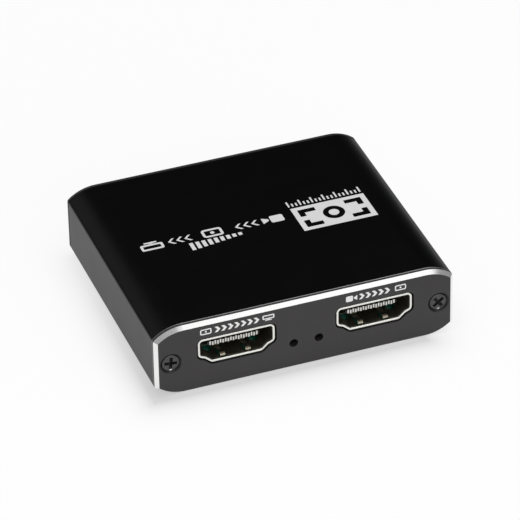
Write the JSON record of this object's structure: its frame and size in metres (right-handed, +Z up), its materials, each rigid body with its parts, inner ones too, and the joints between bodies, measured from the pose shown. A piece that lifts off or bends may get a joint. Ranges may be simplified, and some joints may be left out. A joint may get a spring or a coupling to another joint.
{
  "type": "video capture box",
  "caption": "Flat black aluminium box that takes a video signal in, passes it on and sends it to a computer.",
  "frame": {"origin": "on the surface that the box stands on, under the middle of the case", "axes": "+X to the right along the front with its two video sockets, -Y out of that front, +Z up"},
  "size_m": [0.0582, 0.051, 0.0148],
  "materials": {
    "case": "black anodised, fine matt grain",
    "end_plate": "dark grey anodised, bright cut edge",
    "screw": "black oxide, satin",
    "board": "green solder mask",
    "socket_shell": "nickel plated, satin",
    "socket_plastic": "moulded black",
    "usb_plastic": "moulded blue",
    "contact": "gold plated",
    "lamp": "clear lens on a white body",
    "jack_plastic": "moulded black",
    "chip": "moulded black",
    "crystal": "plated lid",
    "inductor": "pressed ferrite",
    "can": "bright can",
    "ceramic": "fired ceramic",
    "resistor": "thick film, black"
  },
  "bodies": {
    "root": {"sleeve": "case", "front_plate": "end_plate", "rear_plate": "end_plate", "front_screws": "screw", "rear_screws": "screw", "main_board": "board", "output_port_shell": "socket_shell", "input_port_shell": "socket_shell", "usb_shell": "socket_shell", "output_port_tongue": "socket_plastic", "input_port_tongue": "socket_plastic", "usb_tongue": "usb_plastic", "output_port_contacts": "contact", "input_port_contacts": "contact", "usb_contacts": "contact", "microphone_jack_springs": "contact", "audio_jack_springs": "contact", "left_lamp": "lamp", "right_lamp": "lamp", "microphone_jack_body": "jack_plastic", "audio_jack_body": "jack_plastic", "capture_chip": "chip", "loop_chip": "chip", "flash_chip": "chip", "regulators": "chip", "surge_arrays": "chip", "crystals": "crystal", "inductors": "inductor", "bulk_capacitors": "can", "ceramic_capacitors": "ceramic", "resistors": "resistor"}
  },
  "joints": []
}
